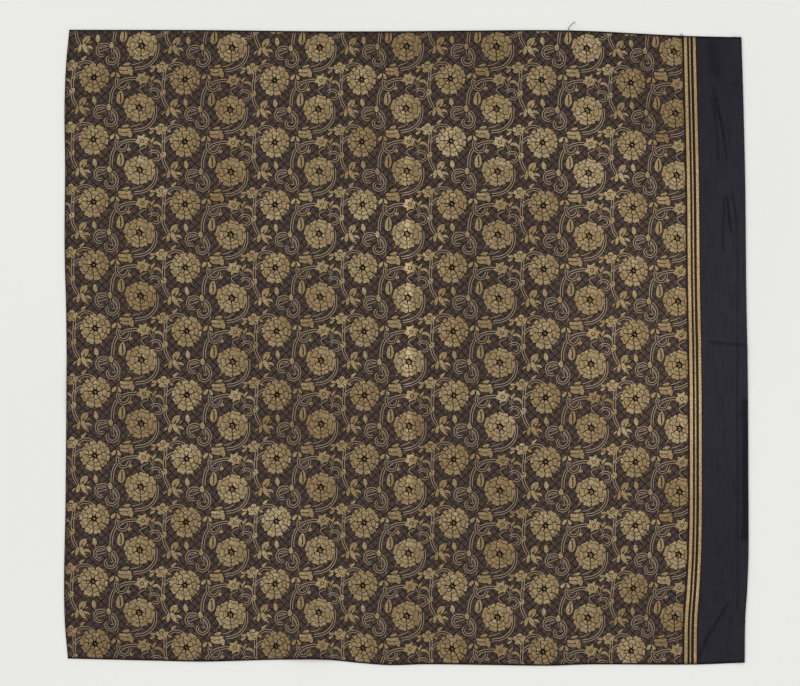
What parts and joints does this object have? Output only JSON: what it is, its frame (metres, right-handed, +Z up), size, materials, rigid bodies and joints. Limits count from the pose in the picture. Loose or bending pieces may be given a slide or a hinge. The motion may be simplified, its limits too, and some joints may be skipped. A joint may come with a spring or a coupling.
{
  "type": "brocade panel",
  "caption": "Flat panel of dark silk brocade with a gold flowering-vine pattern, woven gold bars and a plain dark end with a narrow turned hem, lying face up.",
  "frame": {"origin": "on the surface the cloth lies on, under the middle of its bounding box", "axes": "+X along the cloth's length towards the plain hemmed end, +Y across the loom width, +Z up from the surface"},
  "size_m": [0.7986, 0.7418, 0.0043],
  "materials": {
    "figured_silk": "dark satin ground with a fine dull gold diaper",
    "gold_weft": "soft metallic sheen of old gilt thread",
    "dark_thread": "matt dark silk"
  },
  "bodies": {
    "root": {"brocade_panel": "figured_silk"}
  },
  "joints": []
}
